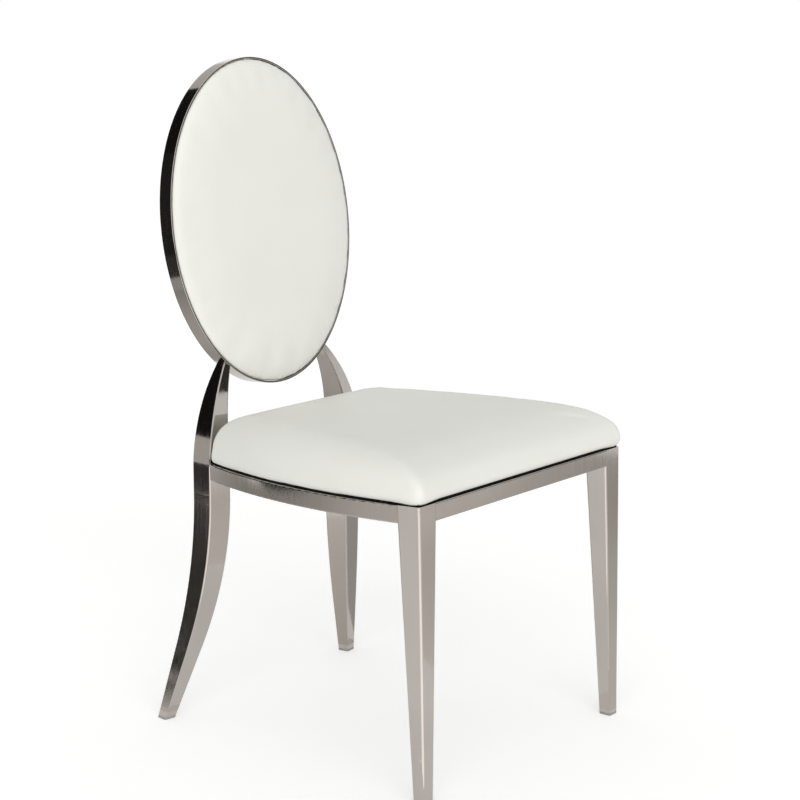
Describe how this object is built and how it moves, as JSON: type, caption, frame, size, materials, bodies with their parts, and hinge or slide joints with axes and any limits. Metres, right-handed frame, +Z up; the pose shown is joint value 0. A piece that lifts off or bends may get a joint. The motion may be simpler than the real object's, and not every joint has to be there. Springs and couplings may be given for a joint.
{
  "type": "banquet chair",
  "caption": "Banquet chair with a padded oval back in a polished steel ring, a crowned leatherette seat, tapered front legs and rear legs that sweep outwards.",
  "frame": {"origin": "on the floor, under the middle of the chair's box", "axes": "+X to the sitter's left, +Y towards the back, +Z up; the seat faces -Y"},
  "size_m": [0.494, 0.55, 0.9809],
  "materials": {
    "polished_steel": "polished",
    "plate_steel": "mill finish",
    "zinc_steel": "zinc plated",
    "leatherette": "smooth satin",
    "foam": "matte",
    "plywood": "raw",
    "dust_cloth": "matte",
    "black_tape": "matte",
    "glide_nylon": "matte",
    "clip_plastic": "matte"
  },
  "bodies": {
    "root": {"back_board": "plywood", "back_cover": "leatherette", "back_foam": "foam", "back_ring": "polished_steel", "back_screws": "zinc_steel", "back_staples": "zinc_steel", "back_tab_lower_left": "plate_steel", "back_tab_lower_right": "plate_steel", "back_tab_upper_left": "plate_steel", "back_tab_upper_right": "plate_steel", "front_corner_plate_left": "plate_steel", "front_corner_plate_right": "plate_steel", "front_foot_glide_left": "glide_nylon", "front_foot_glide_right": "glide_nylon", "front_leg_left": "polished_steel", "front_leg_right": "polished_steel", "front_rail": "polished_steel", "rear_board": "plywood", "rear_corner_plate_left": "plate_steel", "rear_corner_plate_right": "plate_steel", "rear_cover": "leatherette", "rear_foam": "foam", "rear_foot_glide_left": "glide_nylon", "rear_foot_glide_right": "glide_nylon", "rear_leg_left": "polished_steel", "rear_leg_right": "polished_steel", "rear_panel_clips": "clip_plastic", "rear_rail": "polished_steel", "seat_board": "plywood", "seat_cover": "leatherette", "seat_dust_cover": "dust_cloth", "seat_foam": "foam", "seat_screws": "zinc_steel", "seat_staples": "zinc_steel", "seat_tape": "black_tape", "seat_tee_nuts": "zinc_steel", "seat_washers": "zinc_steel", "side_rail_left": "polished_steel", "side_rail_right": "polished_steel"}
  },
  "joints": []
}
